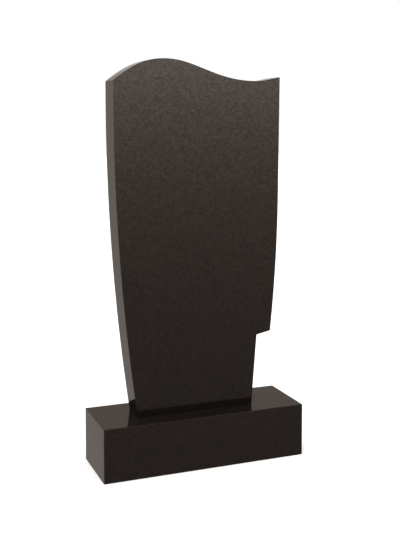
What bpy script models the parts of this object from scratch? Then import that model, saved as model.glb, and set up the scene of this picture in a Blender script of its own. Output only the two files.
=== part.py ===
"""A headstone of polished dark stone: a stele with a wave for its top, standing on a plinth.

Metres, +Z up. The front faces -Y, and X runs to the right as seen from the front.
The origin is the middle of the plinth's underside.
"""

import math

import bmesh
import bpy
from mathutils import Matrix, Vector
from mathutils.geometry import interpolate_bezier

# Plinth
PLINTH_WIDTH = 0.600
PLINTH_DEPTH = 0.200
PLINTH_HEIGHT = 0.150
PLINTH_ARRIS = 0.0015

# The stele's slab, and the bed between its foot and the plinth
STELE_WIDTH = 0.500
STELE_HEIGHT = 1.000
STELE_THICKNESS = 0.080
STELE_ARRIS = 0.0012
BED_GAP = 0.0003

# The wave's low points, as drops below the crest, which is at the stele's full height
LEFT_CORNER_DROP = 0.0622
TROUGH_DROP = 0.0583
RIGHT_CORNER_DROP = 0.0460

# The wave's proportions, as shares of the stele's width: where the crest and the trough lie from its
# left side, and how far the curve's handles reach from them and from the two corners
CREST_AT = 0.3005
TROUGH_AT = 0.839
LEFT_CORNER_REACH = 0.156
CREST_REACH_LEFT = 0.103
CREST_REACH_RIGHT = 0.179
TROUGH_REACH_LEFT = 0.244
TROUGH_REACH_RIGHT = 0.072
RIGHT_CORNER_REACH = 0.053

# The wave's slopes where it meets the two corners
LEFT_CORNER_SLOPE = math.radians(38.4)
RIGHT_CORNER_SLOPE = math.radians(10.0)

# Left side: upright below the corner, then one long arc in to the foot
LEFT_UPRIGHT = 0.0585
LEFT_FOOT_INSET = 0.0648

# Right side: nearly upright, then an arc to the step, the step, and a straight run to the foot.
# Insets are taken in from the stele's width. The bend's place is a share of the way down to the step
RIGHT_BEND_SHARE = 0.461
RIGHT_BEND_INSET = 0.0034
STEP_HEIGHT = 0.212
STEP_OUTER_INSET = 0.0270
STEP_INNER_INSET = 0.0704
STEP_FALL = 0.0086
RIGHT_FOOT_INSET = 0.0865

# How finely the curves are cut
CREST_CUTS = 24
SWEEP_CUTS = 30
TROUGH_CUTS = 12
LEFT_CUTS = 28
RIGHT_CUTS = 18

# The finish: near black stone with a mirror polish
STONE_COLOUR = (0.0052, 0.0044, 0.0040, 1.0)
STONE_ROUGHNESS = 0.05

# Edges sharper than this get an arris
ARRIS_ANGLE = math.radians(20)


def curve_points(start, start_handle, end_handle, end, cuts):
    """Points along one Bezier stretch in the XZ plane, without its last point."""
    flat = [Vector((x, z, 0)) for x, z in (start, start_handle, end_handle, end)]
    return [(p.x, p.y) for p in interpolate_bezier(*flat, cuts + 1)[:-1]]


def arc_points(start, heading, end, cuts):
    """Points along the arc that leaves start along heading and meets end, both ends included."""
    start = Vector(start)
    heading = Vector(heading).normalized()
    chord = Vector(end) - start
    turn = heading.angle_signed(chord)
    points = []
    for i in range(cuts + 1):
        share = i / cuts
        reach = math.sin(turn * share) / math.sin(turn) if turn else share
        p = start + Matrix.Rotation(-turn * share, 2) @ heading * chord.length * reach
        points.append((p.x, p.y))
    return points


def wave_points():
    """The top, from the left corner over the crest and through the trough, without the right corner."""
    left, right = -STELE_WIDTH / 2, STELE_WIDTH / 2
    corner = (left, STELE_HEIGHT - LEFT_CORNER_DROP)
    crest = (left + CREST_AT * STELE_WIDTH, STELE_HEIGHT)
    trough = (left + TROUGH_AT * STELE_WIDTH, STELE_HEIGHT - TROUGH_DROP)
    end = (right, STELE_HEIGHT - RIGHT_CORNER_DROP)
    climb_reach = LEFT_CORNER_REACH * STELE_WIDTH
    climb = (
        corner[0] + climb_reach * math.cos(LEFT_CORNER_SLOPE),
        corner[1] + climb_reach * math.sin(LEFT_CORNER_SLOPE),
    )
    landing_reach = RIGHT_CORNER_REACH * STELE_WIDTH
    landing = (
        end[0] - landing_reach * math.cos(RIGHT_CORNER_SLOPE),
        end[1] - landing_reach * math.sin(RIGHT_CORNER_SLOPE),
    )
    before_crest = (crest[0] - CREST_REACH_LEFT * STELE_WIDTH, crest[1])
    after_crest = (crest[0] + CREST_REACH_RIGHT * STELE_WIDTH, crest[1])
    before_trough = (trough[0] - TROUGH_REACH_LEFT * STELE_WIDTH, trough[1])
    after_trough = (trough[0] + TROUGH_REACH_RIGHT * STELE_WIDTH, trough[1])
    return (
        curve_points(corner, climb, before_crest, crest, CREST_CUTS)
        + curve_points(crest, after_crest, before_trough, trough, SWEEP_CUTS)
        + curve_points(trough, after_trough, landing, end, TROUGH_CUTS)
    )


def right_points():
    """The right side from the top corner down to the foot."""
    right = STELE_WIDTH / 2
    corner = Vector((right, STELE_HEIGHT - RIGHT_CORNER_DROP))
    bend_height = corner.y - RIGHT_BEND_SHARE * (corner.y - STEP_HEIGHT)
    bend = Vector((right - RIGHT_BEND_INSET, bend_height))
    step_outer = (right - STEP_OUTER_INSET, STEP_HEIGHT)
    step_inner = (right - STEP_INNER_INSET, STEP_HEIGHT - STEP_FALL)
    foot = (right - RIGHT_FOOT_INSET, 0.0)
    arc = arc_points(bend, bend - corner, step_outer, RIGHT_CUTS)
    return [tuple(corner)] + arc + [step_inner, foot]


def left_points():
    """The left side from the foot up to the start of its upright stretch."""
    left = -STELE_WIDTH / 2
    top = (left, STELE_HEIGHT - LEFT_CORNER_DROP - LEFT_UPRIGHT)
    foot = (left + LEFT_FOOT_INSET, 0.0)
    return arc_points(top, (0, -1), foot, LEFT_CUTS)[::-1]


def stone_material(name):
    """Polished black stone."""
    material = bpy.data.materials.new(name)
    material.use_nodes = True
    shader = material.node_tree.nodes["Principled BSDF"]
    shader.inputs["Base Color"].default_value = STONE_COLOUR
    shader.inputs["Roughness"].default_value = STONE_ROUGHNESS
    shader.inputs["Metallic"].default_value = 0.0
    return material


def finish_piece(bm, name, arris):
    """Makes the piece's object and breaks its sharp edges with a small arris."""
    bmesh.ops.recalc_face_normals(bm, faces=bm.faces)
    mesh = bpy.data.meshes.new(name)
    bm.to_mesh(mesh)
    bm.free()
    mesh.materials.append(stone_material(name + "_stone"))
    piece = bpy.data.objects.new(name, mesh)
    bpy.context.scene.collection.objects.link(piece)
    bevel = piece.modifiers.new("arris", "BEVEL")
    bevel.width = arris
    bevel.segments = 1
    bevel.limit_method = "ANGLE"
    bevel.angle_limit = ARRIS_ANGLE
    return piece


def make_plinth():
    """The block under the stele, with its underside on the ground."""
    bm = bmesh.new()
    bmesh.ops.create_cube(bm, size=1.0)
    bmesh.ops.translate(bm, verts=bm.verts, vec=(0, 0, 0.5))
    bmesh.ops.scale(bm, verts=bm.verts, vec=(PLINTH_WIDTH, PLINTH_DEPTH, PLINTH_HEIGHT))
    return finish_piece(bm, "plinth", PLINTH_ARRIS)


def make_stele():
    """The slab cut to its outline, standing in the middle of the plinth's top."""
    bm = bmesh.new()
    outline = wave_points() + right_points() + left_points()
    verts = [bm.verts.new((x, -STELE_THICKNESS / 2, z)) for x, z in outline]
    front = bm.faces.new(verts)
    made = bmesh.ops.extrude_face_region(bm, geom=[front], use_keep_orig=True)
    back = [v for v in made["geom"] if isinstance(v, bmesh.types.BMVert)]
    bmesh.ops.translate(bm, verts=back, vec=(0, STELE_THICKNESS, 0))
    stele = finish_piece(bm, "stele", STELE_ARRIS)
    stele.location.z = PLINTH_HEIGHT + BED_GAP
    return stele


for old in list(bpy.data.objects):
    bpy.data.objects.remove(old)
make_plinth()
make_stele()
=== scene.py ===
import math

import bmesh
import bpy
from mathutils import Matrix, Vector


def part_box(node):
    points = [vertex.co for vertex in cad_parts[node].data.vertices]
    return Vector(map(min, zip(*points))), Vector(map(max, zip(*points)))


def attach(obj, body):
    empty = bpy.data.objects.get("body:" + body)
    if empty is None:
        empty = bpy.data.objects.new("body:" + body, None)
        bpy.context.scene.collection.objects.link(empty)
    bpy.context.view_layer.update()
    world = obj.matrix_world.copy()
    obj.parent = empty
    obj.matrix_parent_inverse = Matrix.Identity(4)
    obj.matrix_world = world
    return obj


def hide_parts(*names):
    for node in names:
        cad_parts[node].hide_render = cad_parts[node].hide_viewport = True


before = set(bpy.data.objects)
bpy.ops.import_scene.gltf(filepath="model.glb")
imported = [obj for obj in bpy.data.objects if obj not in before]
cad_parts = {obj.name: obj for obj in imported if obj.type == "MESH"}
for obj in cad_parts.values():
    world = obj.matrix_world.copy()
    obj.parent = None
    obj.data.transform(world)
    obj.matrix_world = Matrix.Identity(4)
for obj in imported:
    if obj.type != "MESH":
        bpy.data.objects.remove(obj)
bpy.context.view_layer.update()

print("frame loaded:", ", ".join(sorted(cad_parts)))


# small helpers for colours and nodes

def toLinear(hexColour):
    channels = [int(hexColour[i:i + 2], 16) / 255 for i in (1, 3, 5)]
    return tuple(c / 12.92 if c <= 0.04045 else ((c + 0.055) / 1.055) ** 2.4 for c in channels) + (1.0,)


def addNode(tree, kind, settings=None, values=None, links=None):
    node = tree.nodes.new(kind)
    for name, value in (settings or {}).items():
        setattr(node, name, value)
    for name, value in (values or {}).items():
        node.inputs[name].default_value = value
    for name, source in (links or {}).items():
        tree.links.new(source, node.inputs[name])
    return node


# camera: left of the slab and turned towards it, its lens shifted down so that uprights lean little

cameraSettings = {
    "place": (-0.917, -2.371, 0.985),   # metres
    "turn": 21.5,       # degrees to the right of straight ahead
    "tilt": 4.03,       # degrees down
    "lens": 60.2,       # mm, on a sensor 36 mm along the frame's long side
    "shift": -0.16,     # shares of the frame's long side, below 0 downwards
}


def makeCamera(s):
    data = bpy.data.cameras.new("camera")
    data.sensor_width = 36
    data.lens = s["lens"]
    data.shift_y = s["shift"]
    camera = bpy.data.objects.new("camera", data)
    camera.location = s["place"]
    camera.rotation_euler = (math.radians(90 - s["tilt"]), 0, math.radians(-s["turn"]))
    bpy.context.scene.collection.objects.link(camera)
    bpy.context.scene.camera = camera


makeCamera(cameraSettings)
print("camera placed")


# studio: a white room to the eye, and a warm grey one with a bright window in front to the polish

studioSettings = {
    "backdrop": "#ffffff",          # all that the eye sees behind the stone
    "room": (                       # what the polish mirrors all round, by degrees up
        (-22.0, "#b2aaa3"), (3.5, "#baafa5"),
        (6.0, "#cfc9c3"), (13.5, "#cfc9c3"),    # the light strip along the slab's top mirrors this band
        (16.8, "#988c83"), (21.0, "#a3968f"),
    ),
    "frontFloor": "#81756b",        # the room's colour in front of the stone, at any height
    "windowColour": "#ffede1",
    "windowLight": 1.095,           # at the horizon
    "windowFade": 6.2,              # degrees down to 1/e of it
    "windowPeak": 2.1,              # the most that it gives
    "windowShoulder": 0.8,          # how far below its peak the light starts to level off
    "windowTop": (7.0, 16.0),       # degrees up where it starts and ends fading out above
    "windowSides": (-0.45, 0.75),   # where it starts and is full, as cosines from straight in front
    "fillColour": "#f3e6da",
    "fillLight": 1.3,
    "fillPlace": (-48.0, -8.0),     # degrees round from the front, below 0 to the left, and degrees up
    "fillSpread": (34.0, 6.0),      # degrees from its middle to where it ends and where it is full
    "onceMirrored": 1.5,            # the glossy depth above which light has been mirrored twice
    "secondMirror": 0.15,           # share left of what is mirrored twice
    "keyTurn": (16.0, -30.0),       # degrees from overhead towards the front, and round to the left
    "keySpread": 60.0,              # degrees across, as a large softbox
    "keyStrength": 6.3,
    "floorSize": 20.0,              # metres from its middle to each side
    "floorColour": "#bcbab8",
}


def roomShader(tree, s, degrees, facing):
    height = addNode(
        tree, "ShaderNodeMapRange", None,
        {"From Min": -90.0, "From Max": 90.0}, {"Value": degrees.outputs[0]},
    )
    walls = addNode(tree, "ShaderNodeValToRGB", links={0: height.outputs[0]})
    stops = walls.color_ramp.elements
    stops.remove(stops[0])
    for up, colour in s["room"]:
        stops.new((up + 90) / 180).color = toLinear(colour)
    stops.remove(stops[-1])
    room = addNode(
        tree, "ShaderNodeMix", {"data_type": "RGBA"},
        {7: toLinear(s["frontFloor"])}, {0: facing.outputs[0], 6: walls.outputs[0]},
    )
    return addNode(tree, "ShaderNodeBackground", links={"Color": room.outputs[2]})


def windowShader(tree, s, degrees, facing):
    steps = addNode(
        tree, "ShaderNodeMath", {"operation": "DIVIDE"}, {1: s["windowFade"]}, {0: degrees.outputs[0]}
    )
    growth = addNode(tree, "ShaderNodeMath", {"operation": "EXPONENT"}, links={0: steps.outputs[0]})
    glow = addNode(
        tree, "ShaderNodeMath", {"operation": "MULTIPLY"}, {1: s["windowLight"]}, {0: growth.outputs[0]}
    )
    capped = addNode(
        tree, "ShaderNodeMath", {"operation": "SMOOTH_MIN"},
        {1: s["windowPeak"], 2: s["windowShoulder"]}, {0: glow.outputs[0]},
    )
    top = addNode(
        tree, "ShaderNodeMapRange", {"interpolation_type": "SMOOTHSTEP"},
        {"From Min": s["windowTop"][0], "From Max": s["windowTop"][1], "To Min": 1.0, "To Max": 0.0},
        {"Value": degrees.outputs[0]},
    )
    trimmed = addNode(
        tree, "ShaderNodeMath", {"operation": "MULTIPLY"},
        links={0: capped.outputs[0], 1: top.outputs[0]},
    )
    window = addNode(
        tree, "ShaderNodeMath", {"operation": "MULTIPLY"},
        links={0: trimmed.outputs[0], 1: facing.outputs[0]},
    )
    return addNode(
        tree, "ShaderNodeBackground", None,
        {"Color": toLinear(s["windowColour"])}, {"Strength": window.outputs[0]},
    )


def fillShader(tree, s, sight):
    turn, lift = (math.radians(a) for a in s["fillPlace"])
    middle = (math.sin(turn) * math.cos(lift), -math.cos(turn) * math.cos(lift), math.sin(lift))
    nearness = addNode(
        tree, "ShaderNodeVectorMath", {"operation": "DOT_PRODUCT"},
        {1: middle}, {0: sight.outputs["Generated"]},
    )
    edge, core = (math.cos(math.radians(a)) for a in s["fillSpread"])
    fill = addNode(
        tree, "ShaderNodeMapRange", {"interpolation_type": "SMOOTHSTEP"},
        {"From Min": edge, "From Max": core, "To Min": 0.0, "To Max": s["fillLight"]},
        {"Value": nearness.outputs["Value"]},
    )
    return addNode(
        tree, "ShaderNodeBackground", None,
        {"Color": toLinear(s["fillColour"])}, {"Strength": fill.outputs[0]},
    )


def makeWorld(s):
    world = bpy.data.worlds.new("studio")
    world.use_nodes = True
    bpy.context.scene.world = world
    tree = world.node_tree
    tree.nodes.clear()
    sight = addNode(tree, "ShaderNodeTexCoord")
    parts = addNode(tree, "ShaderNodeSeparateXYZ", links={0: sight.outputs["Generated"]})
    rise = addNode(tree, "ShaderNodeMath", {"operation": "ARCSINE"}, links={0: parts.outputs["Z"]})
    degrees = addNode(tree, "ShaderNodeMath", {"operation": "DEGREES"}, links={0: rise.outputs[0]})
    front = addNode(tree, "ShaderNodeMath", {"operation": "MULTIPLY"}, {1: -1.0}, {0: parts.outputs["Y"]})
    facing = addNode(
        tree, "ShaderNodeMapRange", {"interpolation_type": "SMOOTHSTEP"},
        {"From Min": s["windowSides"][0], "From Max": s["windowSides"][1]},
        {"Value": front.outputs[0]},
    )       # 1 in front of the stone, 0 behind it

    room = roomShader(tree, s, degrees, facing)
    window = windowShader(tree, s, degrees, facing)
    fill = fillShader(tree, s, sight)
    lamps = addNode(tree, "ShaderNodeAddShader", links={0: window.outputs[0], 1: fill.outputs[0]})
    mirrored = addNode(tree, "ShaderNodeAddShader", links={0: room.outputs[0], 1: lamps.outputs[0]})

    path = addNode(tree, "ShaderNodeLightPath")
    again = addNode(
        tree, "ShaderNodeMath", {"operation": "GREATER_THAN"},
        {1: s["onceMirrored"]}, {0: path.outputs["Glossy Depth"]},
    )
    lost = addNode(
        tree, "ShaderNodeMath", {"operation": "MULTIPLY"},
        {1: 1 - s["secondMirror"]}, {0: again.outputs[0]},
    )
    kept = addNode(tree, "ShaderNodeMixShader", links={0: lost.outputs[0], 1: mirrored.outputs[0]})
    backdrop = addNode(tree, "ShaderNodeBackground", None, {"Color": toLinear(s["backdrop"])})
    mix = addNode(
        tree, "ShaderNodeMixShader",
        links={0: path.outputs["Is Glossy Ray"], 1: backdrop.outputs[0], 2: kept.outputs[0]},
    )
    addNode(tree, "ShaderNodeOutputWorld", links={"Surface": mix.outputs[0]})


def makeKeyLight(s):
    data = bpy.data.lights.new("key", "SUN")
    data.energy = s["keyStrength"]
    data.angle = math.radians(s["keySpread"])
    light = bpy.data.objects.new("key", data)
    light.rotation_euler = (math.radians(s["keyTurn"][0]), 0, math.radians(s["keyTurn"][1]))
    light.visible_glossy = False
    bpy.context.scene.collection.objects.link(light)


def makeFloor(s):
    material = bpy.data.materials.new("matte_floor")
    material.use_nodes = True
    shader = material.node_tree.nodes["Principled BSDF"]
    shader.inputs["Base Color"].default_value = toLinear(s["floorColour"])
    shader.inputs["Roughness"].default_value = 1.0
    shader.inputs["Specular IOR Level"].default_value = 0.0
    bm = bmesh.new()
    bmesh.ops.create_grid(bm, x_segments=1, y_segments=1, size=s["floorSize"])
    mesh = bpy.data.meshes.new("floor")
    bm.to_mesh(mesh)
    bm.free()
    mesh.materials.append(material)
    floor = bpy.data.objects.new("floor", mesh)
    floor.visible_glossy = False        # the polish mirrors the room, not this small sheet
    bpy.context.scene.collection.objects.link(floor)


makeWorld(studioSettings)
makeKeyLight(studioSettings)
makeFloor(studioSettings)
bpy.context.scene.view_settings.view_transform = "Standard"     # keeps the white backdrop white
print("studio lit")


# stone: black gabbro, one block for both pieces

stoneSettings = {
    "grain": 5.6,                   # mm, a little coarser than the real crystals so that they show
    "grainWarp": 2.5,               # mm that the grains' outlines are bent by
    "grainBlend": 0.25,             # how softly one grain runs into the next
    "cluster": 8.5,                 # mm, patches richer in one mineral
    "clusterDetail": 3.0,
    "clusterRoughness": 0.6,
    "clusterShare": 0.45,           # how much the patches count beside the single grains
    "minerals": (0.25, 0.75),       # below the first it is all pyroxene, above the second all feldspar
    "pyroxene": "#110d0b",          # nearly as black as feldspar once polished: the shine shows the grain
    "feldspar": "#0f0c0a",
    "ior": 1.53,
    "shine": (0.72, 1.08),          # feldspar mirrors less light than pyroxene does
    "polish": (0.03, 0.09),         # roughness of the hard grains and of the soft ones
    "hardness": (0.2, 0.8),         # where the hard grains end and the soft ones begin
    "ripple": 9.0,                  # mm, waviness that polishing leaves between hard and soft grains
    "rippleDepth": 0.06,            # mm
    "waveDetail": 1.0,              # of the ripple, and of what bends the grains
    "honedPyroxene": "#1e1a17",     # honing scatters the light and brings the minerals' own colours out
    "honedFeldspar": "#3d3631",
    "honed": (0.42, 0.55),
}


def stoneMaterial(name, s, polished):
    material = bpy.data.materials.new(name)
    material.use_nodes = True
    tree = material.node_tree
    shader = tree.nodes["Principled BSDF"]
    shader.inputs["IOR"].default_value = s["ior"]
    place = addNode(tree, "ShaderNodeTexCoord")
    wobble = addNode(
        tree, "ShaderNodeTexNoise", None,
        {"Scale": 1000 / s["grain"], "Detail": s["waveDetail"]}, {"Vector": place.outputs["Object"]},
    )
    centred = addNode(
        tree, "ShaderNodeVectorMath", {"operation": "SUBTRACT"},
        {1: (0.5, 0.5, 0.5)}, {0: wobble.outputs["Color"]},
    )
    bent = addNode(
        tree, "ShaderNodeVectorMath", {"operation": "MULTIPLY_ADD"},
        {1: (s["grainWarp"] / 1000,) * 3}, {0: centred.outputs[0], 2: place.outputs["Object"]},
    )
    grains = addNode(
        tree, "ShaderNodeTexVoronoi", {"feature": "SMOOTH_F1"},
        {"Scale": 1000 / s["grain"], "Smoothness": s["grainBlend"]}, {"Vector": bent.outputs[0]},
    )
    draws = addNode(tree, "ShaderNodeSeparateColor", links={0: grains.outputs["Color"]})
    patches = addNode(
        tree, "ShaderNodeTexNoise", None,
        {"Scale": 1000 / s["cluster"], "Detail": s["clusterDetail"], "Roughness": s["clusterRoughness"]},
        {"Vector": place.outputs["Object"]},
    )
    mineral = addNode(
        tree, "ShaderNodeMix", {"data_type": "FLOAT"},
        {0: s["clusterShare"]}, {2: draws.outputs[0], 3: patches.outputs["Fac"]},
    )
    share = addNode(
        tree, "ShaderNodeMapRange", None,
        {"From Min": s["minerals"][0], "From Max": s["minerals"][1]}, {"Value": mineral.outputs[0]},
    )       # 0 is all pyroxene, 1 all feldspar
    colours = addNode(
        tree, "ShaderNodeMix", {"data_type": "RGBA"},
        {
            6: toLinear(s["pyroxene"] if polished else s["honedPyroxene"]),
            7: toLinear(s["feldspar"] if polished else s["honedFeldspar"]),
        },
        {0: share.outputs[0]},
    )
    hard, soft = s["polish"] if polished else s["honed"]
    finish = addNode(
        tree, "ShaderNodeMapRange", None,
        {"From Min": s["hardness"][0], "From Max": s["hardness"][1], "To Min": hard, "To Max": soft},
        {"Value": draws.outputs[1]},
    )
    shine = addNode(
        tree, "ShaderNodeMapRange", None,
        {"To Min": s["shine"][1], "To Max": s["shine"][0]}, {"Value": share.outputs[0]},
    )
    ripple = addNode(
        tree, "ShaderNodeTexNoise", None,
        {"Scale": 1000 / s["ripple"], "Detail": s["waveDetail"]}, {"Vector": place.outputs["Object"]},
    )
    relief = addNode(
        tree, "ShaderNodeBump", None,
        {"Strength": 1.0, "Distance": s["rippleDepth"] / 1000}, {"Height": ripple.outputs["Fac"]},
    )
    tree.links.new(colours.outputs[2], shader.inputs["Base Color"])
    tree.links.new(finish.outputs[0], shader.inputs["Roughness"])
    tree.links.new(shine.outputs[0], shader.inputs["Specular Tint"])
    tree.links.new(relief.outputs[0], shader.inputs["Normal"])
    return material


polishedGabbro = stoneMaterial("polished_gabbro", stoneSettings, True)  # mirror bright, near black
honedGabbro = stoneMaterial("honed_gabbro", stoneSettings, False)       # satin and greyer, behind and below
print("stone mixed")


# finish: arrises, shading and stone, the same way on both pieces

finishSettings = {
    "cutAngle": 20.0,       # degrees, the least bend that counts as an edge and gets an arris
    "creaseAngle": 60.0,    # degrees, the least bend that is shaded as a crease
    "honedFacing": 0.99,    # faces that point this squarely backwards or down are honed
    "flatWeight": 50,       # keeps the flat faces flat right up to their arrises
}


def finishPiece(bm, name, arris, arrisSegments, node):
    s = finishSettings
    bm.normal_update()
    foot = min(v.co.z for v in bm.verts)
    least = math.radians(s["cutAngle"])
    sharp = [
        e for e in bm.edges
        if e.calc_face_angle() > least and max(v.co.z for v in e.verts) > foot + arris
    ]       # the edges that stand on something stay square
    bmesh.ops.bevel(
        bm, geom=sharp, offset=arris, offset_type="OFFSET", affect="EDGES",
        segments=arrisSegments, profile=0.5, material=-1, clamp_overlap=True,
    )
    bmesh.ops.recalc_face_normals(bm, faces=bm.faces)
    for edge in bm.edges:
        edge.smooth = edge.calc_face_angle() < math.radians(s["creaseAngle"])
    for face in bm.faces:
        face.smooth = True
        honed = max(face.normal.y, -face.normal.z) > s["honedFacing"]
        face.material_index = 1 if honed else 0
    mesh = bpy.data.meshes.new(name)
    bm.to_mesh(mesh)
    bm.free()
    mesh.materials.append(polishedGabbro)
    mesh.materials.append(honedGabbro)
    piece = bpy.data.objects.new(name, mesh)
    bpy.context.scene.collection.objects.link(piece)
    weights = piece.modifiers.new("flat faces stay flat", "WEIGHTED_NORMAL")
    weights.mode = "FACE_AREA"
    weights.weight = s["flatWeight"]
    weights.keep_sharp = True
    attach(piece, "root")
    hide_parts(node)
    return piece


# plinth: a plain block

plinthSettings = {
    "arris": 0.0015,        # metres
    "arrisSegments": 3,
}


def makePlinth(s):
    low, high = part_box("plinth")
    bm = bmesh.new()
    bmesh.ops.create_cube(bm, size=1.0)
    bmesh.ops.scale(bm, verts=bm.verts, vec=high - low)
    bmesh.ops.translate(bm, verts=bm.verts, vec=(low + high) / 2)
    return finishPiece(bm, "plinth_block", s["arris"], s["arrisSegments"], "plinth")


makePlinth(plinthSettings)
print("plinth made")


# stele: one slab, cut to a closed curve of ten points, with drops and insets in metres from the slab's box

steleSettings = {
    "leftCornerDrop": 0.0622,
    "troughDrop": 0.0583,
    "rightCornerDrop": 0.0460,
    "crestAt": 0.3005,              # shares of the width, from the left
    "troughAt": 0.839,
    "leftCornerReach": 0.156,       # how far the handles reach, as shares of the width
    "crestReach": (0.103, 0.179),
    "troughReach": (0.244, 0.072),
    "rightCornerReach": 0.053,
    "leftCornerSlope": 38.4,        # degrees
    "rightCornerSlope": 10.0,
    "leftUpright": 0.0585,
    "leftFootInset": 0.0648,
    "bendShare": 0.461,             # of the way from the right corner down to the step
    "bendInset": 0.0034,
    "stepHeight": 0.212,
    "stepOuterInset": 0.0270,
    "stepInnerInset": 0.0704,
    "stepFall": 0.0086,
    "rightFootInset": 0.0865,
    "cuts": 40,                     # along each stretch of the curve
    "arris": 0.0012,
    "arrisSegments": 3,
}


def arcHandles(start, heading, end):
    # the handles of one curve that stands for a round arc, which leaves the start along its heading
    chord = end - start
    ahead = heading.normalized()
    half = ahead.angle(chord)
    reach = chord.length / (2 * math.sin(half)) * 4 / 3 * math.tan(half / 2)
    across = chord.normalized()
    arriving = 2 * across.dot(ahead) * across - ahead       # the heading, mirrored in the chord
    return start + ahead * reach, end - arriving * reach


def steleCurve(s, low, high):
    width = high.x - low.x
    leftCorner = Vector((low.x, high.z - s["leftCornerDrop"]))
    crest = Vector((low.x + s["crestAt"] * width, high.z))
    trough = Vector((low.x + s["troughAt"] * width, high.z - s["troughDrop"]))
    rightCorner = Vector((high.x, high.z - s["rightCornerDrop"]))
    stepOuter = Vector((high.x - s["stepOuterInset"], low.z + s["stepHeight"]))
    stepInner = Vector((high.x - s["stepInnerInset"], stepOuter.y - s["stepFall"]))
    bendDrop = s["bendShare"] * (rightCorner.y - stepOuter.y)
    bend = Vector((high.x - s["bendInset"], rightCorner.y - bendDrop))
    rightFoot = Vector((high.x - s["rightFootInset"], low.z))
    leftFoot = Vector((low.x + s["leftFootInset"], low.z))
    upright = leftCorner - Vector((0, s["leftUpright"]))

    leftSlope = math.radians(s["leftCornerSlope"])
    rightSlope = math.radians(s["rightCornerSlope"])
    climb = Vector((math.cos(leftSlope), math.sin(leftSlope)))
    land = Vector((math.cos(rightSlope), math.sin(rightSlope)))
    along = Vector((width, 0))
    rightArc = arcHandles(bend, bend - rightCorner, stepOuter)
    leftArc = arcHandles(upright, Vector((0, -1)), leftFoot)
    return [    # point, handle before it and handle after it; None where the stretch is straight
        (leftCorner, None, leftCorner + climb * s["leftCornerReach"] * width),
        (crest, crest - along * s["crestReach"][0], crest + along * s["crestReach"][1]),
        (trough, trough - along * s["troughReach"][0], trough + along * s["troughReach"][1]),
        (rightCorner, rightCorner - land * s["rightCornerReach"] * width, None),
        (bend, None, rightArc[0]),
        (stepOuter, rightArc[1], None),
        (stepInner, None, None),
        (rightFoot, None, None),
        (leftFoot, None, leftArc[1]),
        (upright, leftArc[0], None),
    ]


def makeStele(s):
    low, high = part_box("stele")
    curve = bpy.data.curves.new("stele_outline", "CURVE")
    curve.resolution_u = s["cuts"]
    spline = curve.splines.new("BEZIER")
    spline.use_cyclic_u = True
    points = steleCurve(s, low, high)
    spline.bezier_points.add(len(points) - 1)
    for spot, (at, before, after) in zip(spline.bezier_points, points):
        spot.handle_left_type = "FREE" if before else "VECTOR"
        spot.handle_right_type = "FREE" if after else "VECTOR"
        spot.co = (at.x, low.y, at.y)
        if before:
            spot.handle_left = (before.x, low.y, before.y)
        if after:
            spot.handle_right = (after.x, low.y, after.y)
    guide = bpy.data.objects.new("stele_outline", curve)
    bm = bmesh.new()
    bm.from_mesh(guide.to_mesh())
    guide.to_mesh_clear()
    bpy.data.objects.remove(guide)

    front = bmesh.ops.contextual_create(bm, geom=bm.edges[:])["faces"]
    made = bmesh.ops.extrude_face_region(bm, geom=front, use_keep_orig=True)
    back = [v for v in made["geom"] if isinstance(v, bmesh.types.BMVert)]
    bmesh.ops.translate(bm, verts=back, vec=(0, high.y - low.y, 0))
    bmesh.ops.recalc_face_normals(bm, faces=bm.faces)
    return finishPiece(bm, "stele_slab", s["arris"], s["arrisSegments"], "stele")


makeStele(steleSettings)
print("stele made")
